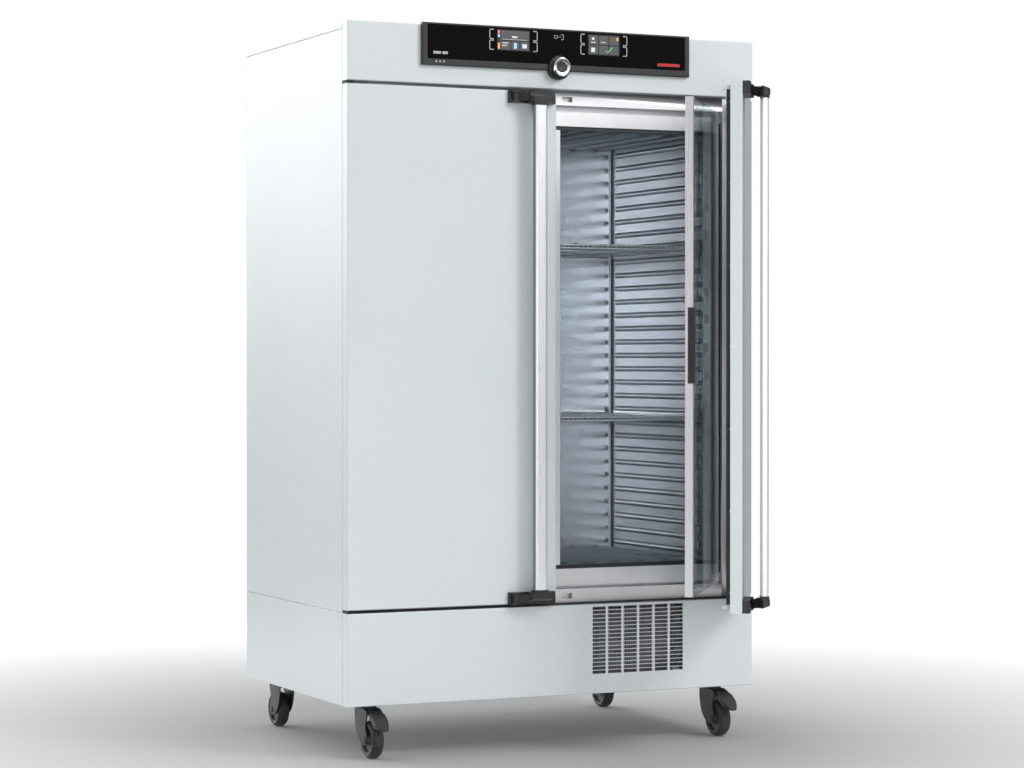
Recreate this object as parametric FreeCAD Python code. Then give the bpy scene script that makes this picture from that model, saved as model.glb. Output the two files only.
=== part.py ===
import FreeCAD, Part
import math
import os

# Double-door compressor-cooled laboratory incubator on castors. Millimetres.
# X runs to the right seen from the front, Y to the rear, Z up. The origin is on
# the floor below the centre of the cabinet.

V = FreeCAD.Vector
X_DIR = V(1, 0, 0)
Y_DIR = V(0, 1, 0)
Z_DIR = V(0, 0, 1)

# Cabinet envelope
HALF_W = 612.0
FRONT = -392.0
REAR = 392.0
BODY_BOTTOM = 144.0
BASE_TOP = 389.8
DOOR_BOTTOM = 398.5
DOOR_TOP = 1785.0
FASCIA_BOTTOM = 1794.0
BODY_TOP = 1950.0
SHEET = 1.5
PAN_REAR = -354.4
RAIL_Y = (-357.8, -352.2)
SIDE_FRONT = -352.0
EDGE_R = 2.5

# Door frame and chamber
FRAME_Y = -350.0
RIM_Y = -328.0
FRAME_IN_X = 538.0
FRAME_IN_LOW = 430.0
FRAME_IN_HIGH = 1755.0
FRAME_TOP = 1792.7
CH_HALF_W = 520.0
CH_LOW = 492.0
CH_HIGH = 1692.0
CH_FRONT = -312.0
CH_REAR = 292.0
RIB_PITCH = 40.0
RIB_R = 8.5
RIB_SINK = 2.5
FLOOR_RIB_PITCH = 80.0
FLOOR_RIB_R = 17.5
FLOOR_RIB_SINK = 10.5
BUTTON_R = 19.3
BUTTON_SINK = 13.3
CORNER_R = 8.0
RIB_FRONT = -248.0
RIB_REAR = 258.0

# Outer doors, drawn closed on the right-hand side
DOOR_X0 = 2.0
DOOR_INNER_Y = -361.0
GASKET_Y = -350.3
HINGE_X = 600.0
HINGE_Y = -376.5
HINGE_PIN_R = 4.0
RUN_FIT = 0.05
ELBOW_EXTRA = 0.4
MID_Z = 1091.0
DOOR_LIP_Y = -354.6
DOOR_CORE_X = (DOOR_X0 + SHEET + 0.2, HALF_W - SHEET - 0.2)
DOOR_CORE_Z = (DOOR_BOTTOM + SHEET + 0.2, DOOR_TOP - SHEET - 0.2)

# Handle
PIVOT_X = 130.0
PIVOT_Y = -404.0
MOUNT_LOW = 1751.0
MOUNT_HIGH = 1784.5
BARREL_LOW = 1756.0
BARREL_HIGH = 1778.2
ARM_LOW = 1750.0
ARM_HIGH = 1783.0
BAR_END = 1743.5
HANDLE_FRONT = -448.0

# Glass doors
GLASS_HINGE_X = 531.0
GLASS_HINGE_Y = -346.0
GLASS_LOW = 434.0
GLASS_HIGH = 1750.0
CLAMP_LOW = 1722.0
CLAMP_HIGH = 1747.6
GRIP_Z = (996.0, 1196.0)

# Opening angles of the right-hand doors and of the right handle
DOOR_OPEN = 57.5
GLASS_OPEN = 52.5
HANDLE_PULLED = 10.0
LATCH_PER_RAD = 26.5

# Castors
WHEEL_R = 50.0
WHEEL_W = 34.0
CHEEK_X = (19.0, 22.6)
TRAIL = 32.0
CASTOR_X = 526.0
FRONT_CASTOR_Y = -318.0
REAR_CASTOR_Y = 328.0
FORK_TOP = 132.5
PEDAL_AHEAD = -40.0
PEDAL_Z = 121.5
PEDAL_PIN_R = 2.5

# Shelves
SHELF_BOTTOMS = {"shelf_upper": 1366.0, "shelf_lower": 886.0}
SHELF_HALF_W = 508.0
SHELF_FRONT = -278.0
SHELF_REAR = 272.0

# Control panel and dial
PANEL_HALF_W = 403.0
PANEL_LOW = 1842.0
PANEL_HIGH = 1955.0
PANEL_FRONT = -405.0
DIAL_Z = 1851.0

# Fans
FAN_Z = 1380.0
COND_FAN_X = 250.0
COND_FAN_Z = 271.0


def box(x, y, z):
    """Axis-aligned box from three (low, high) pairs."""
    return Part.makeBox(x[1] - x[0], y[1] - y[0], z[1] - z[0], V(x[0], y[0], z[0]))


def rod(r, length, base, axis=Z_DIR):
    return Part.makeCylinder(r, length, V(*base), axis)


def ring(r_out, r_in, length, base, axis=Z_DIR):
    return rod(r_out, length, base, axis).cut(rod(r_in, length, base, axis))


def prism(points, z0, z1):
    """Polygon in the XY plane, raised from z0 to z1."""
    wire = Part.makePolygon([V(x, y, z0) for x, y in points + points[:1]])
    return Part.Face(wire).extrude(V(0, 0, z1 - z0))


def side_prism(points, x0, x1):
    """Polygon in the YZ plane, drawn along X from x0 to x1."""
    wire = Part.makePolygon([V(x0, y, z) for y, z in points + points[:1]])
    return Part.Face(wire).extrude(V(x1 - x0, 0, 0))


def revolve(points, axis):
    """Closed (radius, height) outline turned about an axis through the origin."""
    if axis == Z_DIR:
        verts = [V(r, 0, h) for r, h in points]
    elif axis == Y_DIR:
        verts = [V(r, h, 0) for r, h in points]
    else:
        verts = [V(h, r, 0) for r, h in points]
    face = Part.Face(Part.makePolygon(verts + verts[:1]))
    return face.revolve(V(0, 0, 0), axis, 360)


def fuse(shapes):
    result = shapes[0].multiFuse(shapes[1:]) if len(shapes) > 1 else shapes[0]
    return result.removeSplitter()


def flip(shape):
    """The same shape on the other side of the cabinet."""
    return shape.mirror(V(0, 0, 0), X_DIR)


def upside_down(shape):
    """The same shape mirrored about the mid-height of the doors."""
    return shape.mirror(V(0, 0, MID_Z), Z_DIR)


def moved(shape, dx=0.0, dy=0.0, dz=0.0):
    copy = shape.copy()
    copy.translate(V(dx, dy, dz))
    return copy


def turned(shape, x, y, degrees):
    copy = shape.copy()
    copy.rotate(V(x, y, 0), Z_DIR, degrees)
    return copy


def tube(points, r):
    """Bent tube through the points, with a brazed elbow ball at each bend."""
    parts = []
    for a, b in zip(points[:-1], points[1:]):
        start = V(*a)
        span = V(*b) - start
        parts.append(Part.makeCylinder(r, span.Length, start, span))
    for p in points[1:-1]:
        parts.append(Part.makeSphere(r + ELBOW_EXTRA, V(*p)))
    return fuse(parts)


def edges_on_plane(shape, y):
    """The edges of a shape that lie in the plane at depth y."""
    found = []
    for edge in shape.Edges:
        if all(abs(v.Y - y) < 1e-6 for v in edge.Vertexes):
            found.append(edge)
    return found


def upright_edges(shape, min_length):
    found = []
    for edge in shape.Edges:
        a, b = edge.Vertexes[0].Point, edge.Vertexes[-1].Point
        if abs(a.x - b.x) < 1e-6 and abs(a.y - b.y) < 1e-6 and edge.Length > min_length:
            found.append(edge)
    return found


def pan(x, y, z):
    """Folded sheet-metal pan, open at the rear, with rounded front edges."""
    outer = box(x, y, z)
    outer = outer.makeFillet(EDGE_R, edges_on_plane(outer, y[0]))
    inner = box((x[0] + SHEET, x[1] - SHEET), (y[0] + SHEET, y[1] + 1), (z[0] + SHEET, z[1] - SHEET))
    return outer.cut(inner)


def half_capsule(r, sink, y0, y1):
    """Rib lying along Y: a capsule sunk below Z = 0 and cut off there."""
    body = rod(r, y1 - y0, (0, y0, -sink), Y_DIR)
    ends = [Part.makeSphere(r, V(0, y, -sink)) for y in (y0, y1)]
    whole = fuse([body] + ends)
    return whole.common(box((-2 * r, 2 * r), (y0 - 2 * r, y1 + 2 * r), (-0.5, 2 * r)))


def export(name, shapes):
    Part.makeCompound(shapes).exportStep("parts/" + name + ".step")


# Cabinet --------------------------------------------------------------------

def base_frame():
    tray = box((-608, 608), (-350, 388), (145, 149))
    rails = []
    for x in (-CASTOR_X, CASTOR_X):
        outer = box((x - 30, x + 30), (-349, 385), (149, 175))
        rails.append(outer.cut(box((x - 27, x + 27), (-350, 386), (152, 172))))
    low_deck = box((-609.8, 609.8), (-312, 389), (393, 395))
    low_deck = low_deck.cut(box((-124, -36), (355, 390), (392, 396)))
    high_deck = box((-609.8, 609.8), (-350, 389), (1793, 1794.5))
    top_rail = box((-598, 598), RAIL_Y, (1797, 1944))
    top_rail = top_rail.cut(box((-376, 376), (-360, -350), (1850, 1925)))
    low_rail = box((-598, 598), RAIL_Y, (150, 386))
    low_rail = low_rail.cut(box((95, 402), (-360, -350), (185, 384)))
    corner_posts = [box((x0, x0 + 12), (-349, -315), (175, 386)) for x0 in (-606, 594)]
    return [tray, low_deck, high_deck, top_rail, low_rail] + rails + corner_posts + castor_plates()


def castor_plates():
    shapes = []
    for x in (-CASTOR_X, CASTOR_X):
        for y in (FRONT_CASTOR_Y, REAR_CASTOR_Y):
            plate = box((x - 32, x + 32), (y - 32, y + 32), (139, 145))
            race = rod(24, 6, (x, y, 133))
            kingpin = rod(6, 18, (x, y, 115))
            shapes.append(fuse([plate, race, kingpin]))
    return shapes


def side_panels():
    upper = box((HALF_W - SHEET, HALF_W), (SIDE_FRONT, 390.3), (391, 1931.2))
    base = box((HALF_W - SHEET, HALF_W), (SIDE_FRONT, 390.3), (BODY_BOTTOM, 390))
    return [upper, base, flip(upper), flip(base)]


def rear_panels():
    upper = box((-HALF_W, HALF_W), (REAR - SHEET, REAR), (391, 1931.2))
    cuts = [rod(13.3, 10, (400, 385, 1400), Y_DIR)]
    cuts += [rod(8.3, 10, (x, 385, 1860), Y_DIR) for x in (-300, 300)]
    cuts.append(box((-486, -430), (385, 400), (1834, 1876)))
    for i in range(14):
        x = 60 + 14 * i
        cuts.append(box((x, x + 6), (385, 400), (1815, 1885)))
    upper = upper.cut(Part.makeCompound(cuts))
    base = box((-HALF_W, HALF_W), (REAR - SHEET, REAR), (146, 390))
    slots = []
    for row in range(2):
        for i in range(34):
            x = -420 + 25 * i
            z = 185 + 90 * row
            slots.append(box((x, x + 10), (385, 400), (z, z + 75)))
    base = base.cut(Part.makeCompound(slots))
    return [upper, base]


def top_cover():
    lid = box((-HALF_W, HALF_W), (SIDE_FRONT, REAR), (1932, BODY_TOP))
    inner = box((-HALF_W + SHEET, HALF_W - SHEET), (SIDE_FRONT + SHEET, REAR - SHEET),
                (1931, BODY_TOP - SHEET))
    return [lid.cut(inner)]


def front_fascia():
    body = pan((-HALF_W, HALF_W), (FRONT, PAN_REAR), (FASCIA_BOTTOM, BODY_TOP))
    shaft_hole = rod(7, 20, (0, -400, DIAL_Z), Y_DIR)
    return [body.cut(box((-370, 370), (-400, -380), (1862, 1925))).cut(shaft_hole)]


def base_front_panel():
    body = pan((-HALF_W, HALF_W), (FRONT, PAN_REAR), (BODY_BOTTOM, BASE_TOP))
    slots = []
    for column in range(6):
        x = 109.0 + 48.1 * column
        for row in range(17):
            z = 198.0 + 10.95 * row
            slots.append(box((x, x + 40.5), (-395, -388), (z, z + 9.2)))
    return [body.cut(Part.makeCompound(slots))]


def strike_pocket(z):
    slot = box((36, 68.5), (-352, -345), (z - 7, z + 7))
    hollow = box((36, 78), (-346, -334), (z - 9, z + 9))
    return slot.fuse(hollow)


def door_frame():
    side = box((FRAME_IN_X, 606), (FRAME_Y, -316), (393, FRAME_TOP))
    top = box((-FRAME_IN_X, FRAME_IN_X), (FRAME_Y, -316), (FRAME_IN_HIGH, FRAME_TOP))
    top = top.cut(strike_pocket(1771)).cut(flip(strike_pocket(1771)))
    low_z = 2 * MID_Z - 1771
    low = box((-FRAME_IN_X, FRAME_IN_X), (FRAME_Y, -316), (393, FRAME_IN_LOW))
    low = low.cut(strike_pocket(low_z)).cut(flip(strike_pocket(low_z)))
    rim_side = box((528, FRAME_IN_X), (RIM_Y, -316), (FRAME_IN_LOW, FRAME_IN_HIGH))
    rim_top = box((-528, 528), (RIM_Y, -316), (1700, 1739))
    gutter_top = box((-528, 528), (-319, -316), (1739, FRAME_IN_HIGH))
    rim_low = box((-528, 528), (RIM_Y, -316), (436, 484))
    gutter_low = box((-528, 528), (-319, -316), (FRAME_IN_LOW, 436))
    return [side, flip(side), top, low, rim_side, flip(rim_side), rim_top, gutter_top, rim_low,
            gutter_low]


def opening_seal():
    depth = (RIM_Y - 1, CH_FRONT - 0.3)
    side = box((518, 528), depth, (484, 1700))
    top = box((-518, 518), depth, (1690, 1700))
    low = box((-518, 518), depth, (484, 494))
    return [side, flip(side), top, low]


def ribbed_side_wall():
    """Right-hand chamber wall with horizontal ribs and front buttons."""
    rib = half_capsule(RIB_R, RIB_SINK, RIB_FRONT, RIB_REAR)
    rib.rotate(V(0, 0, 0), Y_DIR, -90)
    button = Part.makeSphere(BUTTON_R, V(BUTTON_SINK, 0, 0))
    button = button.common(box((-30, 0.5), (-30, 30), (-30, 30)))
    tools = [moved(rib, CH_HALF_W, 0, CH_LOW + 20 + RIB_PITCH * i) for i in range(30)]
    for i in range(14):
        tools.append(moved(button, CH_HALF_W, -281, CH_HIGH - 40 - 2 * RIB_PITCH * i))
    wall = box((CH_HALF_W, CH_HALF_W + SHEET), (CH_FRONT, CH_REAR), (CH_LOW, CH_HIGH))
    return wall.multiFuse(tools)


def ribbed_floor():
    rib = half_capsule(FLOOR_RIB_R, FLOOR_RIB_SINK, -272, RIB_REAR)
    tools = [moved(rib, FLOOR_RIB_PITCH * i, 0, CH_LOW) for i in range(-6, 7)]
    sheet = box((-CH_HALF_W, CH_HALF_W), (CH_FRONT, CH_REAR), (CH_LOW - SHEET, CH_LOW))
    return sheet.multiFuse(tools)


def rear_corner():
    """Concave strip that rounds the right-hand rear corner of the chamber."""
    x, y = CH_HALF_W - CORNER_R - 0.5, CH_REAR - CORNER_R - 0.5
    block = box((x, CH_HALF_W), (y, CH_REAR), (CH_LOW, CH_HIGH))
    return block.cut(rod(CORNER_R, CH_HIGH, (x, y, 0)))


def chamber_liner():
    wall = ribbed_side_wall()
    floor = ribbed_floor()
    ceiling = floor.mirror(V(0, 0, (CH_LOW + CH_HIGH) / 2), Z_DIR)
    rear = box((-CH_HALF_W - SHEET, CH_HALF_W + SHEET), (CH_REAR, CH_REAR + SHEET),
               (CH_LOW - SHEET, CH_HIGH + SHEET))
    rear = rear.cut(box((-215, 215), (285, 300), (910, 1550)))
    rear = rear.cut(rod(11.5, 10, (400, 288, 1400), Y_DIR))
    corner = rear_corner()
    return [wall, flip(wall), floor, ceiling, rear, corner, flip(corner)]


def insulation():
    side = box((523, 609.8), (CH_FRONT, 389), (397, 1786))
    top = box((-522.8, 522.8), (CH_FRONT, 389), (1695, 1786))
    low = box((-522.8, 522.8), (CH_FRONT, 389), (397, 489))
    low = low.cut(box((-124, -36), (355, 390), (396, 490)))
    rear = box((-522.8, 522.8), (294, 389), (489.2, 1694.8))
    rear = rear.cut(box((-225, 225), (293, 355), (900, 1560)))
    rear = rear.cut(box((-124, -36), (354, 390), (488, 960)))
    rear = rear.cut(rod(13.3, 110, (400, 290, 1400), Y_DIR))
    return [side, flip(side), top, low, rear]


def heater_mats():
    side = box((521.7, 522.7), (-300, 285), (505, 1680))
    low = box((-505, 505), (-300, 285), (489.3, 490.3))
    top = box((-505, 505), (-300, 285), (1693.7, 1694.7))
    return [side, flip(side), low, top]


# Control panel ----------------------------------------------------------------

def display_windows(gap):
    windows = []
    for x in (-185, 88):
        windows.append(box((x - gap, x + 97 + gap), (-410, -390), (1890 - gap, 1946 + gap)))
    return windows


def cockpit_housing():
    body = box((-PANEL_HALF_W, PANEL_HALF_W), (PANEL_FRONT, FRONT), (PANEL_LOW, PANEL_HIGH))
    body = body.makeFillet(2.0, edges_on_plane(body, PANEL_FRONT))
    recess = box((-389, 389), (PANEL_FRONT - 1, PANEL_FRONT + 2), (1859, 1951))
    body = body.cut(recess)
    collar = rod(33, 20, (0, -412, DIAL_Z), Y_DIR)
    collar = collar.makeFillet(5, edges_on_plane(collar, -412))
    body = fuse([body, collar])
    body = body.cut(rod(5 + RUN_FIT, 40, (0, -420, DIAL_Z), Y_DIR))
    for window in display_windows(0.2):
        body = body.cut(window)
    return [body]


def cockpit_glass():
    plate = box((-388.8, 388.8), (PANEL_FRONT + 0.1, PANEL_FRONT + 2), (1859.2, 1950.8))
    plate = plate.cut(rod(33.3, 20, (0, -415, DIAL_Z), Y_DIR))
    for window in display_windows(0.2):
        plate = plate.cut(window)
    return [plate]


def displays():
    shapes = []
    for x in (-185, 88):
        shapes.append(box((x, x + 97), (PANEL_FRONT + 0.3, -396), (1890, 1946)))
    return shapes


def dial_shaft():
    return [rod(5, 38, (0, -418, DIAL_Z), Y_DIR)]


def dial():
    """Silver ring around a black cap that turns on the shaft."""
    outline = [(15.2, -423.5), (17, -425.5), (22, -426.5), (25, -425.5), (26, -423), (26, -415),
               (15.2, -415)]
    bezel = moved(revolve(outline, Y_DIR), 0, 0, DIAL_Z)
    cap = [(0, -422), (13, -422.8), (15, -421.5), (15, -415), (5 + RUN_FIT, -415),
           (5 + RUN_FIT, -418.5), (0, -418.5)]
    return [bezel, moved(revolve(cap, Y_DIR), 0, 0, DIAL_Z)]


def control_electronics():
    board = box((-170, 170), (-376, -374), (1872, 1922))
    chips = [box((x, x + 24), (-374, -368), (1885, 1909)) for x in (-140, -60, 20, 100)]
    supply = box((240, 440), (40, 170), (1795, 1850))
    relay_tray = box((-440, -200), (0, 200), (1795, 1797))
    relays = [box((x, x + 32), (60, 110), (1797, 1837)) for x in (-420, -370, -320, -270)]
    terminals = box((-430, -240), (140, 170), (1797, 1822))
    return [board, supply, relay_tray, terminals] + chips + relays


def power_inlet():
    flange = box((-492, -424), (392, 394), (1828, 1882))
    body = box((-485, -431), (360, 392), (1835, 1875))
    socket = box((-478, -438), (374, 396), (1842, 1868))
    shell = fuse([flange, body]).cut(socket)
    pins = [box((x - 3, x + 3), (373, 388), (1851, 1859)) for x in (-470, -458, -446)]
    return fuse([shell] + pins)


# Cooling, air circulation ------------------------------------------------------

def slotted_disc(z, r):
    """Ring of radial slots for an air intake, cut through along Y."""
    cuts = []
    for i in range(24):
        slot = box((22, r), (270, 300), (-3, 3))
        slot.rotate(V(0, 0, 0), Y_DIR, 15 * i)
        cuts.append(moved(slot, 0, 0, z))
    return cuts


def fan_cover():
    outer = box((-240, 240), (281, CH_REAR), (885, 1575))
    outer = outer.makeFillet(4, edges_on_plane(outer, 281))
    body = outer.cut(box((-238.5, 238.5), (282.5, 293), (886.5, 1573.5)))
    cuts = slotted_disc(FAN_Z, 78)
    for i in range(12):
        z = 930 + 18 * i
        cuts += [box((x, x + 130), (280, 284), (z, z + 7)) for x in (-210, -65, 80)]
    return [body.cut(Part.makeCompound(cuts)), temperature_sensors()]


def blade(r_in, r_out, depth, thick, pitch):
    """One flat fan blade standing out from the hub, axis along Y."""
    plate = box((r_in, r_out), (-thick / 2, thick / 2), (-depth / 2, depth / 2))
    plate.rotate(V(0, 0, 0), X_DIR, pitch)
    return plate


def impeller(x, y, z, hub_r, tip_r, count, depth, shaft_r):
    hub = rod(hub_r, depth * 0.9, (0, -depth * 0.45, 0), Y_DIR)
    parts = [hub]
    for i in range(count):
        wing = blade(hub_r - 2, tip_r, depth, 1.6, 35)
        wing.rotate(V(0, 0, 0), Y_DIR, 360 / count * i)
        parts.append(wing)
    whole = fuse(parts).cut(rod(shaft_r + RUN_FIT, depth * 2, (0, -depth, 0), Y_DIR))
    return moved(whole, x, y, z)


def circulation_fan():
    return [impeller(0, 308, FAN_Z, 16, 74, 7, 20, 3)]


def fan_motor():
    body = rod(28, 30, (0, 324, FAN_Z), Y_DIR)
    shaft = rod(3, 22, (0, 302.5, FAN_Z), Y_DIR)
    bars = [box((-110, 110), (346, 349), (z - 5, z + 5)) for z in (FAN_Z - 15, FAN_Z + 15)]
    feet = [box((x, x + 8), (346, 355), (FAN_Z - 25, FAN_Z + 25)) for x in (-118, 110)]
    return [fuse([body, shaft] + bars + feet)]


def finned_coil(x, y, z, fins, rows, r):
    """Heat exchanger block: upright fins threaded on level tubes."""
    step = (x[1] - x[0]) / fins
    plates = [box((x[0] + step * i, x[0] + step * i + 0.8), y, z) for i in range(fins + 1)]
    tubes = []
    mid = (y[0] + y[1]) / 2
    for k in range(rows):
        height = z[0] + (z[1] - z[0]) * (k + 0.5) / rows
        tubes.append(rod(r, x[1] - x[0] + 24, (x[0] - 12, mid, height), X_DIR))
    return plates[0].multiFuse(plates[1:] + tubes)


def evaporator():
    return [finned_coil((-180, 180), (305, 345), (950, 1170), 36, 5, 5)]


def condenser():
    coil = finned_coil((118, 382), (-345, -300), (170, 372), 44, 5, 5)
    shroud = box((112, 388), (-296, -292), (165, 376))
    shroud = shroud.cut(rod(90, 10, (COND_FAN_X, -298, COND_FAN_Z), Y_DIR))
    motor = rod(30, 38, (COND_FAN_X, -262, COND_FAN_Z), Y_DIR)
    shaft = rod(4, 30, (COND_FAN_X, -290, COND_FAN_Z), Y_DIR)
    spokes = [box((112, 388), (-258, -254), (COND_FAN_Z + dz - 4, COND_FAN_Z + dz + 4))
              for dz in (-18, 18)]
    posts = [box((x, x + 8), (-292, -250), (COND_FAN_Z - 26, COND_FAN_Z + 26)) for x in (112, 380)]
    return [coil, fuse([shroud, motor, shaft] + spokes + posts)]


def condenser_fan():
    return [impeller(COND_FAN_X, -278, COND_FAN_Z, 20, 86, 5, 22, 4)]


def compressor():
    outline = [(0, 172), (84, 172), (96, 186), (98, 230), (101, 234), (101, 240), (98, 244),
               (94, 300), (78, 328), (44, 342), (0, 346)]
    dome = moved(revolve(outline, Z_DIR), -300, 120, 0)
    foot = box((-415, -185), (30, 210), (164, 167))
    pads = [rod(12, 15, (x, y, 149)) for x in (-400, -200) for y in (45, 195)]
    stem = rod(60, 6, (-300, 120, 166))
    return [fuse([dome, foot, stem] + pads)]


def refrigerant_lines():
    suction = tube([(-300, 224, 300), (-300, 330, 300), (-60, 330, 300), (-60, 372, 300),
                    (-60, 372, 930), (-60, 325, 930), (-198.8, 325, 930), (-198.8, 325, 972)], 6)
    hot = tube([(-196, 120, 260), (60, 120, 260), (60, -322, 260), (60, -322, 210),
                (104, -322, 210)], 4)
    liquid = tube([(394, -322, 352), (420, -322, 352), (420, 60, 352), (420, 300, 352),
                   (-100, 300, 352), (-100, 372, 352), (-100, 372, 940), (-60, 350, 940)], 3)
    drier = rod(14, 110, (420, 40, 352), Y_DIR)
    return [suction, hot, fuse([liquid, drier])]


def rear_fittings():
    """Mains inlet, access port and wall anchors."""
    port = fuse([rod(13, 98.5, (400, 293.5, 1400), Y_DIR), rod(24, 3, (400, 392, 1400), Y_DIR)])
    port = port.cut(rod(11.5, 120, (400, 285, 1400), Y_DIR))
    anchors = [ring(8, 3, 14, (x, 379, 1860), Y_DIR) for x in (-300, 300)]
    return [power_inlet(), port] + anchors


def temperature_sensors():
    """Two probes in one clip on the front of the fan cover."""
    shapes = []
    for z in (1150, 1174):
        probe = rod(3, 109, (226, 172, z), Y_DIR)
        shapes.append(fuse([probe, Part.makeSphere(3, V(226, 172, z))]))
    clip = box((218, 234), (274, 281), (1140, 1184))
    return fuse(shapes + [clip])


def door_hinges():
    """Corner brackets with pins for the outer doors and pins for the glass doors."""
    shapes = []
    outline = [(589, FRAME_Y), (589, -380), (596, -387), (606, -387), (610, -382), (610, FRAME_Y)]
    plate = prism(outline, 1786, 1790)
    pin = rod(HINGE_PIN_R, 22, (HINGE_X, HINGE_Y, 1764.5))
    upper = fuse([plate, pin])
    lower = upside_down(upper)
    glass_pin = rod(3, 18, (GLASS_HINGE_X, GLASS_HINGE_Y, 1737))
    glass_low = moved(glass_pin, 0, 0, 430 - 1737)
    for item in (upper, lower, glass_pin, glass_low):
        shapes += [item, flip(item)]
    return shapes


def shelf_rails():
    shapes = []
    for bottom in SHELF_BOTTOMS.values():
        web = box((511.8, 513.8), (-262, 262), (bottom - 2, bottom + 20))
        ledge = box((494, 511.8), (-262, 262), (bottom - 2, bottom))
        studs = [rod(4, CH_HALF_W - 513.8, (513.8, y, bottom + 6), X_DIR) for y in (-200, 200)]
        rail = fuse([web, ledge] + studs)
        shapes += [rail, flip(rail)]
    return shapes


def shelf(bottom):
    """Wire grid: long wires laid on level cross rods."""
    shapes = []
    for y in (SHELF_FRONT + 6, -95, 90, SHELF_REAR - 6):
        shapes.append(rod(3, 2 * SHELF_HALF_W, (-SHELF_HALF_W, y, bottom + 3), X_DIR))
    count = 67
    step = (2 * SHELF_HALF_W - 12) / (count - 1)
    for i in range(count):
        x = -SHELF_HALF_W + 6 + step * i
        shapes.append(rod(2, SHELF_REAR - SHELF_FRONT, (x, SHELF_FRONT, bottom + 8), Y_DIR))
    for y in (SHELF_FRONT + 6, SHELF_REAR - 6):
        shapes.append(rod(2.5, 2 * SHELF_HALF_W, (-SHELF_HALF_W, y, bottom + 12.5), X_DIR))
    return shapes


# Outer door, right-hand side, closed ---------------------------------------------

def hinge_hole():
    hole = rod(7.05, 30, (HINGE_X, HINGE_Y, 1763))
    return hole.fuse(upside_down(hole))


def door_shell():
    body = pan((DOOR_X0, HALF_W), (FRONT, DOOR_INNER_Y), (DOOR_BOTTOM, DOOR_TOP))
    lip = box((HALF_W - SHEET, HALF_W), (DOOR_INNER_Y - 1, DOOR_LIP_Y), (DOOR_BOTTOM, DOOR_TOP))
    slot = box((112, 138), (-395, -388), (1764, 1778))
    return [fuse([body, lip]).cut(slot).cut(upside_down(slot)).cut(hinge_hole())]


def door_inner():
    """Inner sheet with a raised field."""
    sheet = box(DOOR_CORE_X, (DOOR_INNER_Y - SHEET, DOOR_INNER_Y), DOOR_CORE_Z)
    field = box((92, 512), (DOOR_INNER_Y, -357), (500, 1682))
    field = field.makeFillet(3.5, edges_on_plane(field, -357))
    latch_slot = box((42, 78), (-365, -360), (1763, 1779))
    return [fuse([sheet, field]).cut(latch_slot).cut(upside_down(latch_slot)).cut(hinge_hole())]


def door_core():
    """Foam that fills the door between its shell and its inner sheet."""
    core = box(DOOR_CORE_X, (FRONT + SHEET + 0.2, DOOR_INNER_Y - SHEET - 0.2), DOOR_CORE_Z)
    channel = box((38, 146), (-391, -362), (1756, 1782))
    return [core.cut(channel).cut(upside_down(channel)).cut(hinge_hole())]


def door_gasket():
    depth = (DOOR_INNER_Y, GASKET_Y)
    top = box((10, 574), depth, (1748, 1762))
    free = box((10, 24), depth, (434, 1748))
    hinge = box((560, 574), depth, (434, 1748))
    return [top, upside_down(top), free, hinge]


def door_fittings():
    """Handle mounts with their pins, hinge bushes and inner panel screws."""
    lug_outline = [(148, FRONT), (148, -404), (142, -414), (134, -417), (120, -417), (106, -411),
                   (104, -406), (12, -406), (12, FRONT)]
    high_lug = prism(lug_outline, BARREL_HIGH + 0.3, MOUNT_HIGH)
    low_lug = prism(lug_outline, MOUNT_LOW, BARREL_LOW - 0.3)
    block = prism([(92, FRONT), (92, -408), (88, -412), (16, -412), (12, -408), (12, FRONT)],
                  MOUNT_LOW, MOUNT_HIGH)
    web = box((141, 148), (-402, FRONT), (MOUNT_LOW, MOUNT_HIGH))
    pin = rod(3, MOUNT_HIGH - MOUNT_LOW, (PIVOT_X, PIVOT_Y, MOUNT_LOW))
    mount = fuse([high_lug, low_lug, block, web, pin])
    bush = ring(7, HINGE_PIN_R + RUN_FIT, 21.5, (HINGE_X, HINGE_Y, 1763.5))
    shapes = [mount, upside_down(mount), bush, upside_down(bush)]
    for i in range(7):
        z = 452 + 213 * i
        shapes.append(rod(2.6, 1.8, (6.6, DOOR_INNER_Y, z), Y_DIR))
        shapes.append(rod(2.6, 1.8, (590, DOOR_INNER_Y, z), Y_DIR))
    return shapes


def handle_arm():
    """Upper arm: barrel on the mount's pin, neck, and a head that holds the bar."""
    barrel = rod(10.5, BARREL_HIGH - BARREL_LOW, (PIVOT_X, PIVOT_Y, BARREL_LOW))
    neck = prism([(PIVOT_X, PIVOT_Y - 10.5), (100, -436), (100, -413), (124, -395.5)],
                 BARREL_LOW, BARREL_HIGH)
    finger = box((127, 133), (-398, -374), (1765.5, 1776.5))
    head = prism([(102, -409), (102, -438), (94, HANDLE_FRONT + 3), (88, HANDLE_FRONT),
                  (42, HANDLE_FRONT), (36, HANDLE_FRONT + 6), (36, -430), (40, -426), (92, -426)],
                 ARM_LOW, ARM_HIGH)
    slope = side_prism([(-395, 1785.5), (-455, 1764), (-455, 1800), (-395, 1800)], 20, 110)
    head = head.cut(slope)
    underside = side_prism([(-424, 1750), (-395, 1750), (-395, 1762)], 20, 110)
    head = head.cut(underside)
    socket = box((52, 92), (-447.9, -427.5), (BAR_END, ARM_LOW + 1))
    arm = fuse([barrel, neck, finger, head, socket])
    return arm.cut(rod(3 + RUN_FIT, 60, (PIVOT_X, PIVOT_Y, 1740)))


def handle_arms():
    arm = handle_arm()
    return [arm, upside_down(arm)]


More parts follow.
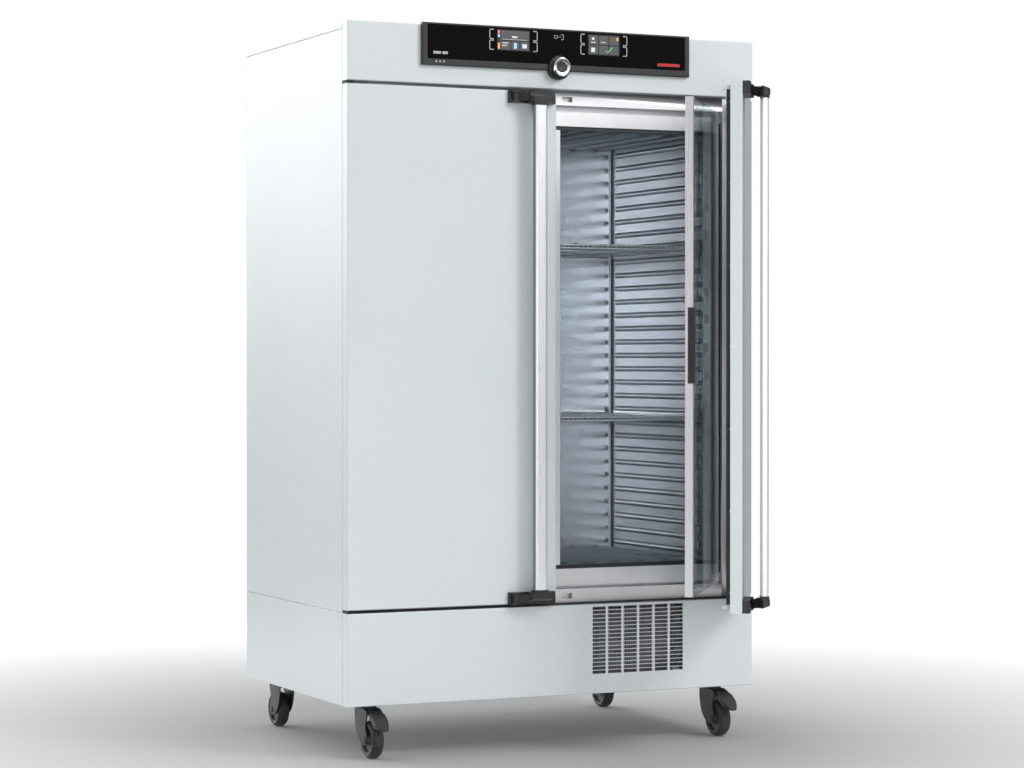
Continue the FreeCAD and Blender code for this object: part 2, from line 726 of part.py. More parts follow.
def handle_bar():
    front = HANDLE_FRONT + 0.6
    outline = [(53, -431), (53, -441), (55, -444.5), (59, -446.8), (64, front), (80, front),
               (85, -446.8), (89, -444.5), (91, -441), (91, -431), (88, -428), (56, -428)]
    bar = prism(outline, 2 * MID_Z - BAR_END, BAR_END)
    return [bar.makeFillet(1.5, upright_edges(bar, 500))]


def latch_bar():
    """Flat bar with a window for the arm's finger and a hook at its end."""
    body = box((50, 142), (-380, -376), (1760, 1778))
    window = box((125.5, 134.5), (-381, -375), (1765, 1779))
    body = body.cut(window)
    leg = box((57, 65), (-376, -338), (1765, 1777))
    nose = box((65, 72), (-342, -338), (1765, 1777))
    return fuse([body, leg, nose])


def latch():
    bar = latch_bar()
    return [bar, upside_down(bar)]


# Glass door, right-hand side, closed ---------------------------------------------

def glass_pane():
    return [box((8, 524), (-349, -343), (GLASS_LOW, GLASS_HIGH))]


def glass_clamp():
    body = box((506, 536), (-351.5, -340), (CLAMP_LOW, CLAMP_HIGH))
    body = body.makeFillet(4, upright_edges(body, 20))
    body = body.cut(box((500, 524), (-349, -343), (1700, GLASS_HIGH)))
    return body.cut(rod(3 + RUN_FIT, 40, (GLASS_HINGE_X, GLASS_HINGE_Y, 1730)))


def glass_edge():
    """Rubber edge on the hinge side of the pane, between the two clamps."""
    body = box((518, 527), (-351, -341), (2 * MID_Z - CLAMP_LOW + 1, CLAMP_LOW - 1))
    return body.cut(box((500, 524), (-349, -343), (GLASS_LOW, GLASS_HIGH)))


def glass_profile(lap):
    """Free-edge profile with grip, two clamps and the rubber edge; lap adds the cover strip."""
    z = (GLASS_LOW, GLASS_HIGH)
    body = box((4, 24), (-350, -336), z)
    body = body.cut(box((8, 25), (-349, -343), z))
    if lap:
        opening = (CH_LOW + 3, CH_HIGH - 3)
        strip = box((-41, 12), (-328.8, -326.8), opening)
        web = box((4, 12), (-336, -326.8), opening)
        body = fuse([body, strip, web])
    else:
        body = fuse([body, box((4, 9), (-336, -329.3), z)])
    grip = box((2.6, 4), (-356, -337), GRIP_Z)
    lip = box((4, 8.5), (-356, -350), GRIP_Z)
    clamp = glass_clamp()
    return [body, fuse([grip, lip]), clamp, upside_down(clamp), glass_edge()]


# Castors --------------------------------------------------------------------

def wheel(x, y):
    half = WHEEL_W / 2
    tyre = [(34, -half + 2), (42, -half), (46, -half + 2.5), (48.8, -half + 7), (WHEEL_R, -5),
            (WHEEL_R, 5), (48.8, half - 7), (46, half - 2.5), (42, half), (34, half - 2)]
    hub = [(5 + RUN_FIT, -18), (11, -18), (13, -9), (33.8, -9), (33.8, 9), (13, 9), (11, 18),
           (5 + RUN_FIT, 18)]
    return [moved(revolve(outline, X_DIR), x, y, WHEEL_R) for outline in (tyre, hub)]


def fork(x, y, ahead):
    """Swivel housing with two wide cheeks and the axle; the wheel trails towards ahead."""
    outline = [(-36, 126), (-28, FORK_TOP), (28, FORK_TOP), (46, 127), (50, 116), (43, 104), (38, 92),
               (38, 80), (44, 68), (48, 54), (45, 42), (36, 36), (24, 35), (10, 38), (-5, 46),
               (-18, 58), (-28, 76), (-34, 98)]
    outline = [(u * ahead, z) for u, z in outline]
    near, far = CHEEK_X
    cheeks = [side_prism(outline, near, far), side_prism(outline, -far, -near)]
    ends = sorted((-33 * ahead, 31 * ahead))
    crown = box((-near, near), ends, (118, FORK_TOP))
    axle = rod(5, 2 * far, (-far, TRAIL * ahead, WHEEL_R), X_DIR)
    caps = [rod(9, 2, (side, TRAIL * ahead, WHEEL_R), X_DIR) for side in (-far - 2, far)]
    body = fuse(cheeks + [crown, axle] + caps)
    body = body.cut(rod(6 + RUN_FIT, 40, (0, 0, 100)))
    if ahead < 0:
        body = body.cut(rod(PEDAL_PIN_R + RUN_FIT, 50, (-25, PEDAL_AHEAD, PEDAL_Z), X_DIR))
    return [moved(body, x, y, 0)]


def brake_pedal(x, y):
    """Curved foot lever over the front of the wheel, wider ahead of the cheeks."""
    top = [(-36, 130.5), (-48, 130), (-60, 127), (-76, 119), (-92, 109), (-105, 99.5),
           (-115, 91), (-122, 83.5)]
    under = [(-121, 81), (-112, 83.5), (-100, 86), (-88, 91), (-76, 100), (-62, 110),
             (-50, 116.5), (-44, 117.5), (-36, 117.5)]
    body = side_prism(top + under, -24, 24)
    plan = [(-17, -30), (17, -30), (17, -66), (20, -72), (20, -96), (16, -110), (9, -119), (3, -122),
            (-3, -122), (-9, -119), (-16, -110), (-20, -96), (-20, -72), (-17, -66)]
    body = body.common(prism(plan, 60, 140))
    far = CHEEK_X[1]
    pivot = rod(PEDAL_PIN_R, 2 * far, (-far, PEDAL_AHEAD, PEDAL_Z), X_DIR)
    return [moved(fuse([body, pivot]), x, y, 0)]


# Assembly ----------------------------------------------------------------------

def door_set():
    """All pieces of one closed right-hand door, keyed by node name stem."""
    return {
        "door_shell": door_shell(),
        "door_inner": door_inner(),
        "door_core": door_core(),
        "door_gasket": door_gasket(),
        "door_fittings": door_fittings(),
        "handle_arms": handle_arms(),
        "handle_bar": handle_bar(),
        "latch": latch(),
    }


def place_left(stem, shapes):
    export(stem + "_left", [flip(shape) for shape in shapes])


def place_right(stem, shapes):
    pulled = math.radians(HANDLE_PULLED)
    placed = []
    for shape in shapes:
        if stem.startswith("handle"):
            shape = turned(shape, PIVOT_X, PIVOT_Y, HANDLE_PULLED)
        if stem == "latch":
            shape = moved(shape, -LATCH_PER_RAD * pulled)
        placed.append(turned(shape, HINGE_X, HINGE_Y, DOOR_OPEN))
    export(stem + "_right", placed)


def export_doors():
    for stem, shapes in door_set().items():
        place_left(stem, shapes)
        place_right(stem, shapes)
    pane = glass_pane()
    export("glass_pane_left", [flip(shape) for shape in pane])
    export("glass_pane_right", [turned(s, GLASS_HINGE_X, GLASS_HINGE_Y, GLASS_OPEN) for s in pane])
    export("glass_profile_left", [flip(shape) for shape in glass_profile(True)])
    export("glass_profile_right",
           [turned(s, GLASS_HINGE_X, GLASS_HINGE_Y, GLASS_OPEN) for s in glass_profile(False)])


def export_castors():
    spots = {
        "front_left": (-CASTOR_X, FRONT_CASTOR_Y, -1),
        "front_right": (CASTOR_X, FRONT_CASTOR_Y, -1),
        "rear_left": (-CASTOR_X, REAR_CASTOR_Y, 1),
        "rear_right": (CASTOR_X, REAR_CASTOR_Y, 1),
    }
    for name, (x, y, ahead) in spots.items():
        export("fork_" + name, fork(x, y, ahead))
        export("wheel_" + name, wheel(x, y + TRAIL * ahead))
        if ahead < 0:
            export("brake_" + name, brake_pedal(x, y))


def export_fixed():
    builders = {
        "base_frame": base_frame, "side_panels": side_panels, "rear_panels": rear_panels,
        "top_cover": top_cover, "front_fascia": front_fascia,
        "base_front_panel": base_front_panel, "door_frame": door_frame,
        "opening_seal": opening_seal, "chamber_liner": chamber_liner,
        "insulation": insulation, "heater_mats": heater_mats,
        "cockpit_housing": cockpit_housing, "cockpit_glass": cockpit_glass,
        "displays": displays, "control_electronics": control_electronics,
        "fan_cover": fan_cover, "fan_motor": fan_motor,
        "evaporator": evaporator, "compressor": compressor, "condenser": condenser,
        "refrigerant_lines": refrigerant_lines, "rear_fittings": rear_fittings,
        "door_hinges": door_hinges,
        "shelf_rails": shelf_rails, "circulation_fan": circulation_fan,
        "condenser_fan": condenser_fan, "dial_shaft": dial_shaft, "dial": dial,
    }
    for name, builder in builders.items():
        export(name, builder())


def main():
    os.makedirs("parts", exist_ok=True)
    export_fixed()
    for name, bottom in SHELF_BOTTOMS.items():
        export(name, shelf(bottom))
    export_doors()
    export_castors()


main()
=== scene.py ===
import math

import bmesh
import bpy
from mathutils import Euler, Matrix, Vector


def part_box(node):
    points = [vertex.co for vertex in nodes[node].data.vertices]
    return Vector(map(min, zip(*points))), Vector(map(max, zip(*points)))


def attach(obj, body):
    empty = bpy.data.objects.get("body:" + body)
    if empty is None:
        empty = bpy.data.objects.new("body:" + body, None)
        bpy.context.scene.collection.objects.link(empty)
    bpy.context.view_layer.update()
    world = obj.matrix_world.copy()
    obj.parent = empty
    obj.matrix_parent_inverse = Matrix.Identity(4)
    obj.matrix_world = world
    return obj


# Double-door laboratory incubator on castors. Metres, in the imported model's frame.

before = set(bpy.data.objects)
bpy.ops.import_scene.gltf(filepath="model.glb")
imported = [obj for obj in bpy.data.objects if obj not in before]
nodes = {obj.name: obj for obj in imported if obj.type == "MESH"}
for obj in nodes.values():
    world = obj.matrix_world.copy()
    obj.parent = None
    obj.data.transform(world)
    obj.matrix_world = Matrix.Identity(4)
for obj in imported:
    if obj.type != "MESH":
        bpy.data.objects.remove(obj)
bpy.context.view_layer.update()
MM = 0.001
SIDES = ("left", "right")
CORNERS = ("front_left", "front_right", "rear_left", "rear_right")

# Printed marks lie PRINT_LIFT in front of their surface, and each next layer PRINT_STEP further.
PRINT_LIFT = 0.0002
PRINT_STEP = 0.0001
SCREEN_WIDTH = 0.097


# Materials --------------------------------------------------------------------

def set_range(node, low, high, out_low, out_high):
    """Sets a Map Range node's four limits."""
    limits = {"From Min": low, "From Max": high, "To Min": out_low, "To Max": out_high}
    for key, number in limits.items():
        node.inputs[key].default_value = number


class Surface:
    """One Principled material whose variation is made of noises in object space."""

    def __init__(self, name, colour, rough, metal=0.0, **sockets):
        self.material = bpy.data.materials.new(name)
        self.material.use_nodes = True
        self.material.diffuse_color = (*colour, 1)
        self.tree = self.material.node_tree
        self.shader = self.tree.nodes["Principled BSDF"]
        self.set("Base Color", (*colour, 1))
        self.set("Roughness", rough)
        self.set("Metallic", metal)
        for key, value in sockets.items():
            self.set(key.replace("_", " "), value)
        self.object_space = self.add("TexCoord").outputs["Object"]
        self.last_normal = None

    def set(self, socket, value):
        self.shader.inputs[socket].default_value = value

    def add(self, kind, **inputs):
        node = self.tree.nodes.new("ShaderNode" + kind)
        for key, value in inputs.items():
            node.inputs[key].default_value = value
        return node

    def link(self, source, target):
        self.tree.links.new(source, target)

    def spot(self, stretch):
        """Object-space position, multiplied by stretch along each axis."""
        if stretch == (1, 1, 1):
            return self.object_space
        mapping = self.add("Mapping", Scale=stretch)
        self.link(self.object_space, mapping.inputs["Vector"])
        return mapping.outputs["Vector"]

    def noise(self, size, detail=2.0, stretch=(1, 1, 1)):
        """Soft noise whose blobs are about size metres across."""
        node = self.add("TexNoise", Scale=1 / size, Detail=detail)
        self.link(self.spot(stretch), node.inputs["Vector"])
        return node.outputs["Fac"]

    def cells(self, size, output="Color", stretch=(1, 1, 1)):
        """Voronoi cells about size metres across."""
        node = self.add("TexVoronoi", Scale=1 / size)
        self.link(self.spot(stretch), node.inputs["Vector"])
        return node.outputs[output]

    def along(self, axis):
        node = self.add("SeparateXYZ")
        self.link(self.object_space, node.inputs[0])
        return node.outputs[axis]

    def ramp(self, value, low, high, out_low=0.0, out_high=1.0):
        node = self.add("MapRange")
        set_range(node, low, high, out_low, out_high)
        self.link(value, node.inputs["Value"])
        return node.outputs["Result"]

    def tint(self, value, low, high, colour_low, colour_high):
        """Base colour runs from one colour to the other as the value runs from low to high."""
        mix = self.tree.nodes.new("ShaderNodeMix")
        mix.data_type = "RGBA"
        for socket in mix.inputs:
            if socket.name == "A" and socket.type == "RGBA":
                socket.default_value = (*colour_low, 1)
            if socket.name == "B" and socket.type == "RGBA":
                socket.default_value = (*colour_high, 1)
        self.link(self.ramp(value, low, high), mix.inputs["Factor"])
        result = [s for s in mix.outputs if s.type == "RGBA"][0]
        self.link(result, self.shader.inputs["Base Color"])

    def rough(self, value, low, high):
        self.link(self.ramp(value, 0.3, 0.7, low, high), self.shader.inputs["Roughness"])

    def bump(self, height, depth, strength=1.0):
        node = self.add("Bump", Strength=strength, Distance=depth)
        self.link(height, node.inputs["Height"])
        if self.last_normal is not None:
            self.link(self.last_normal, node.inputs["Normal"])
        self.last_normal = node.outputs["Normal"]
        self.link(self.last_normal, self.shader.inputs["Normal"])


def enamel_steel():
    """Pale grey textured sheet of the housing."""
    s = Surface("enamel_steel", (0.66, 0.70, 0.715), 0.28, 0.0, Specular_IOR_Level=0.55)
    grain = s.noise(0.0011, 3)
    s.tint(s.noise(0.35, 3), 0.3, 0.7, (0.645, 0.688, 0.705), (0.675, 0.712, 0.726))
    s.rough(grain, 0.24, 0.34)
    s.bump(grain, 0.00008, 0.25)
    return s.material


def brushed(name, colour, rough, stretch, metal=1.0, depth=0.00006):
    """Brushed metal whose scratches run along the axis with the small factor in stretch."""
    s = Surface(name, colour, rough, metal)
    lines = s.noise(0.0009, 3, stretch)
    dark = tuple(c * 0.93 for c in colour)
    s.tint(s.noise(0.05, 3, stretch), 0.3, 0.7, dark, colour)
    s.rough(lines, rough - 0.06, rough + 0.07)
    s.bump(lines, depth, 0.4)
    return s.material


def chamber_steel(name, colour, rough, metal):
    """Bluish polished stainless sheet of the chamber."""
    s = Surface(name, colour, rough, metal)
    dark = tuple(c * 0.95 for c in colour)
    s.tint(s.noise(0.25, 3), 0.3, 0.7, dark, colour)
    s.rough(s.noise(0.03, 4), rough - 0.03, rough + 0.03)
    s.bump(s.noise(0.0012, 2, (1, 0.1, 1)), 0.00001, 0.2)
    s.bump(s.noise(0.25, 2), 0.0004, 0.15)
    return s.material


def shelf_wire():
    """Electropolished wire."""
    s = Surface("shelf_wire", (0.78, 0.80, 0.83), 0.2, 1.0)
    s.tint(s.noise(0.02, 2), 0.3, 0.7, (0.70, 0.73, 0.77), (0.82, 0.84, 0.86))
    s.rough(s.noise(0.004, 3), 0.16, 0.28)
    s.bump(s.noise(0.0012, 2), 0.00004, 0.3)
    return s.material


def zinc():
    """Zinc-plated sheet with faint spangles."""
    s = Surface("zinc", (0.55, 0.56, 0.58), 0.4, 1.0)
    s.tint(s.cells(0.012), 0.0, 1.0, (0.46, 0.47, 0.50), (0.60, 0.61, 0.63))
    s.rough(s.noise(0.006, 3), 0.34, 0.5)
    s.bump(s.noise(0.0015, 2), 0.00005, 0.3)
    return s.material


def plastic(name, colour, rough, grain=0.0006, depth=0.00005):
    """Moulded plastic with a fine spark-eroded grain."""
    s = Surface(name, colour, rough)
    light = tuple(min(1.0, c * 1.35 + 0.004) for c in colour)
    s.tint(s.noise(0.03, 3), 0.35, 0.75, colour, light)
    s.rough(s.noise(grain * 3, 3), rough - 0.06, rough + 0.08)
    s.bump(s.cells(grain, "Distance"), depth, 0.5)
    return s.material


def rubber(name, colour, rough):
    """Matt rubber with dusty blotches."""
    s = Surface(name, colour, rough, Sheen_Weight=0.1)
    light = tuple(c * 1.7 + 0.006 for c in colour)
    s.tint(s.noise(0.02, 4), 0.4, 0.75, colour, light)
    s.rough(s.noise(0.003, 3), rough - 0.08, rough + 0.1)
    s.bump(s.noise(0.0008, 3), 0.00008, 0.4)
    return s.material


def panel_glass():
    """Black printed glass of the control panel."""
    s = Surface("panel_glass", (0.0012, 0.0012, 0.0014), 0.08, 0.0, IOR=1.5, Specular_IOR_Level=0.05)
    s.rough(s.noise(0.03, 4), 0.05, 0.10)
    s.bump(s.noise(0.08, 2), 0.0002, 0.08)
    return s.material


def screen():
    """Lit display with a fine grain."""
    s = Surface("screen", (0.02, 0.021, 0.023), 0.25, Emission_Strength=0.2, Specular_IOR_Level=0.2)
    s.set("Emission Color", (0.05, 0.05, 0.055, 1))
    s.tint(s.noise(0.012, 3), 0.3, 0.7, (0.016, 0.017, 0.02), (0.028, 0.029, 0.032))
    s.bump(s.cells(0.0005, "Distance"), 0.00002, 0.3)
    return s.material


def lit(name, colour, strength=0.5):
    """Small graphic that glows: the display's own light for the screen contents, a painted glow for
    the printed marks.
    """
    s = Surface(name, colour, 0.3, Emission_Strength=strength)
    s.set("Emission Color", (*colour, 1))
    dark = tuple(c * 0.85 for c in colour)
    s.tint(s.noise(0.004, 2), 0.3, 0.7, dark, colour)
    return s.material


def clear_glass():
    """Clear pane with the green-blue tint of float glass."""
    s = Surface("clear_glass", (0.88, 0.985, 0.985), 0.0, Transmission_Weight=1.0, IOR=1.24)
    s.rough(s.noise(0.2, 3), 0.0, 0.012)
    s.bump(s.noise(0.35, 1), 0.0003, 0.05)
    return s.material


def foam():
    """Yellow insulating foam."""
    s = Surface("foam", (0.78, 0.70, 0.45), 0.9)
    s.tint(s.cells(0.004), 0.0, 1.0, (0.70, 0.62, 0.38), (0.84, 0.77, 0.52))
    s.bump(s.cells(0.0025, "Distance"), 0.0004, 0.7)
    return s.material


def heater_foil():
    """Reddish film of the heating mats, with faint tracks across it."""
    s = Surface("heater_foil", (0.45, 0.14, 0.07), 0.5)
    s.tint(s.noise(0.01, 2, (1, 8, 1)), 0.4, 0.6, (0.38, 0.11, 0.05), (0.50, 0.17, 0.09))
    s.bump(s.noise(0.002, 2), 0.0001, 0.5)
    return s.material


def copper():
    """Copper tube, dulled in places."""
    s = Surface("copper", (0.80, 0.42, 0.26), 0.28, 1.0)
    s.tint(s.noise(0.03, 4), 0.35, 0.7, (0.80, 0.43, 0.27), (0.50, 0.25, 0.15))
    s.rough(s.noise(0.01, 3), 0.2, 0.42)
    s.bump(s.noise(0.002, 2), 0.00005, 0.3)
    return s.material


def circuit_board():
    """Green board with a patchwork of darker fields."""
    s = Surface("circuit_board", (0.02, 0.16, 0.07), 0.35)
    s.tint(s.cells(0.006, stretch=(1, 1, 3)), 0.2, 0.8, (0.015, 0.12, 0.05), (0.03, 0.22, 0.10))
    s.bump(s.cells(0.003, "Distance"), 0.0001, 0.4)
    return s.material


def build_materials():
    up = (1, 1, 0.01)
    across = (0.01, 1, 1)
    depthwise = (1, 0.01, 1)
    silver = (0.84, 0.825, 0.84)
    return {
        "enamel": enamel_steel(),
        "frame_up": brushed("frame_steel_up", silver, 0.34, up, 0.75),
        "frame_across": brushed("frame_steel_across", silver, 0.34, across, 0.75),
        "inner": brushed("door_inner_steel", silver, 0.30, up, 0.85),
        # The chamber is one stainless sheet; its three copies differ as painted light and shade: the
        # ribbed walls darker (the fan cover shares that copy), the rear wall and corner beads
        # lighter.
        "chamber": chamber_steel("chamber_steel", (0.35, 0.38, 0.42), 0.36, 0.9),
        "chamber_rear": chamber_steel("chamber_rear_steel", (0.86, 0.905, 0.96), 0.2, 0.85),
        "chamber_bead": chamber_steel("chamber_bead_steel", (0.88, 0.92, 0.96), 0.45, 0.2),
        "wire": shelf_wire(),
        "rail": brushed("rail_steel", (0.66, 0.70, 0.74), 0.26, depthwise),
        "zinc": zinc(),
        "bar": brushed("bar_aluminium", (0.88, 0.88, 0.89), 0.32, up, 0.6),
        # Darker copy of the bar aluminium: painted shade for the left bar's narrow sides.
        "painted_shade_flank": brushed("painted_shade_flank_aluminium", (0.30, 0.30, 0.315), 0.42, up),
        "bright": brushed("bright_steel", (0.80, 0.80, 0.82), 0.16, up),
        "fin": brushed("fin_aluminium", (0.75, 0.76, 0.78), 0.38, up),
        "black": plastic("black_plastic", (0.012, 0.012, 0.014), 0.42),
        "housing": plastic("panel_housing", (0.008, 0.008, 0.009), 0.40),
        "fork": plastic("castor_plastic", (0.016, 0.017, 0.019), 0.38, 0.0008),
        "hub": plastic("castor_hub", (0.05, 0.052, 0.056), 0.45),
        "tyre": rubber("castor_tyre", (0.016, 0.017, 0.018), 0.62),
        "gasket": rubber("black_rubber", (0.014, 0.014, 0.015), 0.6),
        "glass_panel": panel_glass(),
        "screen": screen(),
        "glass": clear_glass(),
        "foam": foam(),
        "foil": heater_foil(),
        "copper": copper(),
        "board": circuit_board(),
        # The printed marks glow a little: painted light, as print gives no light of its own.
        "mark": lit("silver_print_painted_glow", (0.36, 0.36, 0.37), 0.25),
        "red": lit("red_print_painted_glow", (0.50, 0.006, 0.010), 0.12),
        "tile": lit("screen_tile", (0.062, 0.062, 0.066), 0.35),
        "line": lit("screen_line", (0.55, 0.56, 0.58), 0.5),
        "orange": lit("screen_orange", (0.75, 0.38, 0.06), 0.5),
        "blue": lit("screen_blue", (0.30, 0.55, 0.75), 0.5),
        "green": lit("screen_green", (0.18, 0.55, 0.14), 0.5),
        "rose": lit("screen_rose", (0.65, 0.18, 0.16), 0.5),
    }


mats = build_materials()


# Carried-over CAD nodes -----------------------------------------------------------

def islands(obj):
    """Separate solids of a node: (polygon indices, lowest corner, highest corner) each."""
    mesh = obj.data
    seen = {}
    parent = list(range(len(mesh.vertices)))

    def root(i):
        while parent[i] != i:
            parent[i] = parent[parent[i]]
            i = parent[i]
        return i

    for v in mesh.vertices:
        key = tuple(round(c, 6) for c in v.co)
        if key in seen:
            parent[root(v.index)] = root(seen[key])
        else:
            seen[key] = v.index
    for p in mesh.polygons:
        first = root(p.vertices[0])
        for i in p.vertices[1:]:
            parent[root(i)] = first
    groups = {}
    for p in mesh.polygons:
        groups.setdefault(root(p.vertices[0]), []).append(p.index)
    found = []
    for polygons in groups.values():
        corners = [mesh.vertices[i].co for p in polygons for i in mesh.polygons[p].vertices]
        low = Vector(map(min, *corners))
        high = Vector(map(max, *corners))
        found.append((polygons, low, high))
    return found


def paint(node, *names):
    """Gives a node its materials; the first one covers all of it."""
    obj = nodes[node]
    obj.data.materials.clear()
    for name in names:
        obj.data.materials.append(mats[name])
    for p in obj.data.polygons:
        p.material_index = 0
    return obj


def paint_islands(node, choose, *names):
    """As paint, with choose(low, high) giving the material's place for each solid."""
    obj = paint(node, *names)
    for polygons, low, high in islands(obj):
        index = choose(low, high)
        for p in polygons:
            obj.data.polygons[p].material_index = index


def soften(node, width):
    """Rounds a node's sharp edges with modifiers; the mesh itself stays as it is."""
    obj = nodes[node]
    mesh = obj.data
    custom = mesh.attributes.get("custom_normal")
    if custom is not None:
        mesh.attributes.remove(custom)
    mesh.polygons.foreach_set("use_smooth", [True] * len(mesh.polygons))
    for edge in mesh.edges:
        edge.use_edge_sharp = False
    weld = obj.modifiers.new("weld", "WELD")
    weld.merge_threshold = 1e-6
    flat = obj.modifiers.new("flat", "DECIMATE")
    flat.decimate_type = "DISSOLVE"
    flat.angle_limit = math.radians(0.5)
    flat.delimit = {"MATERIAL"}
    bevel = obj.modifiers.new("edges", "BEVEL")
    bevel.width = width
    bevel.segments = 2
    bevel.limit_method = "ANGLE"
    bevel.angle_limit = math.radians(30)
    bevel.use_clamp_overlap = True
    normals = obj.modifiers.new("normals", "WEIGHTED_NORMAL")
    normals.keep_sharp = False


def tall(low, high):
    """0 for a solid that is higher than it is wide or deep, else 1."""
    size = high - low
    return 0 if size.z > max(size.x, size.y) else 1


def liner_piece(low, high):
    """Ribbed sheets, plain rear wall, corner beads."""
    if high.y - low.y > 0.02:
        return 0
    return 1 if high.x - low.x > 0.1 else 2


def paint_faces(node, choose, name):
    """Gives the faces that choose(centre, normal) picks one more material."""
    mesh = nodes[node].data
    mesh.materials.append(mats[name])
    index = len(mesh.materials) - 1
    for p in mesh.polygons:
        if choose(p.center, p.normal):
            p.material_index = index


def smaller_than(limit):
    """Chooser for paint_islands: 1 for solids whose longest side is under the limit."""
    def choose(low, high):
        return 1 if max(high - low) < limit else 0
    return choose


def profile_piece(low, high):
    """Grey profile, black grip, bright clamps and the rubber edge beside the hinge."""
    height = high.z - low.z
    if height < 0.1:
        return 2
    if height < 0.3:
        return 1
    return 3 if high.z < 1.74 else 0


def dress_nodes():
    for node in ("side_panels", "rear_panels", "top_cover", "front_fascia", "base_front_panel",
                 "door_shell_left", "door_shell_right"):
        paint(node, "enamel")
    paint_islands("door_frame", tall, "frame_up", "frame_across")
    # Ribbed walls, rear wall and corner beads get the shaded and lit copies of the one chamber
    # steel.
    paint_islands("chamber_liner", liner_piece, "chamber", "chamber_rear", "chamber_bead")
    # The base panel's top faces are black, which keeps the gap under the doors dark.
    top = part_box("base_front_panel")[1].z
    paint_faces("base_front_panel",
                lambda centre, normal: centre.z > top - 0.0002 and normal.z > 0.9, "gasket")
    paint_islands("fan_cover", smaller_than(0.15), "chamber", "bright")
    paint("shelf_rails", "rail")
    paint("shelf_upper", "wire")
    paint("shelf_lower", "wire")
    paint_islands("base_frame", smaller_than(0.08), "zinc", "fork")
    paint("door_hinges", "black")
    paint("opening_seal", "gasket")
    paint("insulation", "foam")
    paint("heater_mats", "foil")
    paint("cockpit_housing", "housing")
    paint("cockpit_glass", "glass_panel")
    paint("displays", "screen")
    paint_islands("control_electronics", smaller_than(0.25), "board", "black")
    paint("rear_fittings", "black")
    paint("fan_motor", "zinc")
    paint("compressor", "black")
    paint("circulation_fan", "fin")
    paint("condenser_fan", "black")
    paint("evaporator", "fin")
    paint("condenser", "fin")
    paint("refrigerant_lines", "copper")
    paint("dial_shaft", "bright")
    paint_islands("dial", smaller_than(0.045), "bright", "black")
    for side in SIDES:
        paint("door_inner_" + side, "inner")
        paint("door_core_" + side, "foam")
        paint("door_gasket_" + side, "gasket")
        paint_islands("door_fittings_" + side, smaller_than(0.006), "black", "bright")
        paint("handle_arms_" + side, "black")
        paint("handle_bar_" + side, "bar")
        paint("latch_" + side, "zinc")
        paint("glass_pane_" + side, "glass")
        paint_islands("glass_profile_" + side, profile_piece, "bar", "black", "bright", "gasket")
    # The left bar's narrow sides get a darker copy of the bar aluminium: painted shade, which the
    # right bar doesn't have.
    paint_faces("handle_bar_left", lambda centre, normal: abs(normal.x) > 0.8, "painted_shade_flank")
    for corner in CORNERS:
        paint("fork_" + corner, "fork")
        paint_islands("wheel_" + corner, smaller_than(0.08), "tyre", "hub")
    for side in SIDES:
        paint("brake_front_" + side, "fork")


def soften_edges():
    """Widths in millimetres."""
    widths = {
        "side_panels": 0.4, "rear_panels": 0.3, "top_cover": 1.2, "door_frame": 0.15,
        "opening_seal": 0.8, "door_hinges": 0.8, "rear_fittings": 0.4,
    }
    for side in SIDES:
        widths["door_fittings_" + side] = 0.5
        widths["handle_arms_" + side] = 1.2
        widths["glass_profile_" + side] = 0.25
        widths["brake_front_" + side] = 1.2
        widths["latch_" + side] = 0.4
        widths["door_gasket_" + side] = 0.3
    for corner in CORNERS:
        widths["fork_" + corner] = 0.9
        widths["wheel_" + corner] = 0.5
    for node, width in widths.items():
        soften(node, width * MM)


dress_nodes()
soften_edges()


# Printed marks and screen contents -------------------------------------------------

def finish_mesh(name, bm, material):
    """Makes the mesh a piece of the cabinet."""
    mesh = bpy.data.meshes.new(name)
    bmesh.ops.recalc_face_normals(bm, faces=bm.faces)
    bm.to_mesh(mesh)
    bm.free()
    obj = bpy.data.objects.new(name, mesh)
    bpy.context.scene.collection.objects.link(obj)
    mesh.materials.append(mats[material])
    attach(obj, "cabinet")


def rounded(x0, x1, z0, z1, radius, steps=4):
    """Corner points of a rectangle with round corners, in the panel's plane."""
    centres = ((x1 - radius, z1 - radius, 0), (x0 + radius, z1 - radius, 90),
               (x0 + radius, z0 + radius, 180), (x1 - radius, z0 + radius, 270))
    points = []
    for cx, cz, start in centres:
        for i in range(steps + 1):
            a = math.radians(start + 90 * i / steps)
            points.append((cx + radius * math.cos(a), cz + radius * math.sin(a)))
    return points


def ribbon(path, width):
    """Outline of a line of the given width along the path, open at both ends."""
    left, right = [], []
    for i, (x, z) in enumerate(path):
        before = Vector(path[max(0, i - 1)])
        after = Vector(path[min(len(path) - 1, i + 1)])
        along = (after - before).normalized()
        side = Vector((-along.y, along.x)) * (width / 2)
        left.append((x + side.x, z + side.y))
        right.append((x - side.x, z - side.y))
    return left + right[::-1]


def add_prism(bm, ends):
    """Solid between two outlines that have the same number of points."""
    near, far = ([bm.verts.new(point) for point in end] for end in ends)
    bm.faces.new(near)
    bm.faces.new(far[::-1])
    count = len(near)
    for i in range(count):
        j = (i + 1) % count
        bm.faces.new((near[i], far[i], far[j], near[j]))


def add_plate(bm, outline, front, depth):
    """Flat plate with its front at Y = front, outline in X and Z."""
    add_prism(bm, [[(x, y, z) for x, z in outline] for y in (front, front + depth)])


def plates(name, outlines, front, material, depth=0.00015):
    """One piece of thin plates, one for each outline."""
    bm = bmesh.new()
    for outline in outlines:
        add_plate(bm, outline, front, depth)
    finish_mesh(name, bm, material)


def bracket(x, z0, z1, reach, stroke):
    """Square bracket that opens towards reach, with round corners."""
    radius = 0.003
    r = math.copysign(radius, reach)
    path = [(x + reach, z1)]
    for start, z in ((90, z1 - radius), (180, z0 + radius)):
        for i in range(5):
            a = math.radians(start + 22.5 * i)
            path.append((x + r + r * math.cos(a), z + radius * math.sin(a)))
    path.append((x + reach, z0))
    return ribbon(path, stroke)


